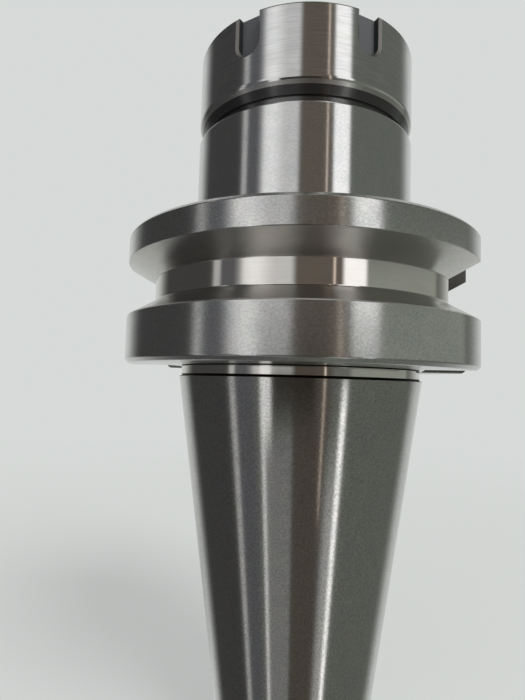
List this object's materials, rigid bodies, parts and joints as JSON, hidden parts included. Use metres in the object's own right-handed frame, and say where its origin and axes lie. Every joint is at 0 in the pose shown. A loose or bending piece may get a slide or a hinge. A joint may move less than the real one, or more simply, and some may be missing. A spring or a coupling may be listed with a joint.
{
  "type": "collet chuck holder",
  "caption": "Steep-taper machine shank with a grooved drive flange, carrying a slitted spring collet under a slotted clamping nut.",
  "frame": {"origin": "centre of the gauge line, where the taper is widest, on the spindle axis", "axes": "+Z along the spindle axis towards the clamping nut, X through the two drive slots"},
  "size_m": [0.0966, 0.1, 0.1953],
  "materials": {
    "ground_steel": "ground and polished hardened steel",
    "nut_steel": "ground outside, blackened behind",
    "collet_steel": "ground spring steel"
  },
  "bodies": {
    "holder": {"holder_body": "ground_steel"},
    "collet": {"collet": "collet_steel"},
    "nut": {"clamping_nut": "nut_steel"}
  },
  "joints": [
    {"name": "collet_draw", "type": "slide", "parent": "holder", "child": "collet", "axis": [0, 0, 1], "range_m": [0, 0.0136]},
    {"name": "nut_turn", "type": "hinge", "parent": "collet", "child": "nut", "pos_m": [0, 0, 0.08], "axis": [0, 0, 1], "range_deg": [0, 3240]}
  ],
  "couplings": [
    {"joint": "collet_draw", "follows": "nut_turn", "m_per_rad": 0.00023873}
  ]
}
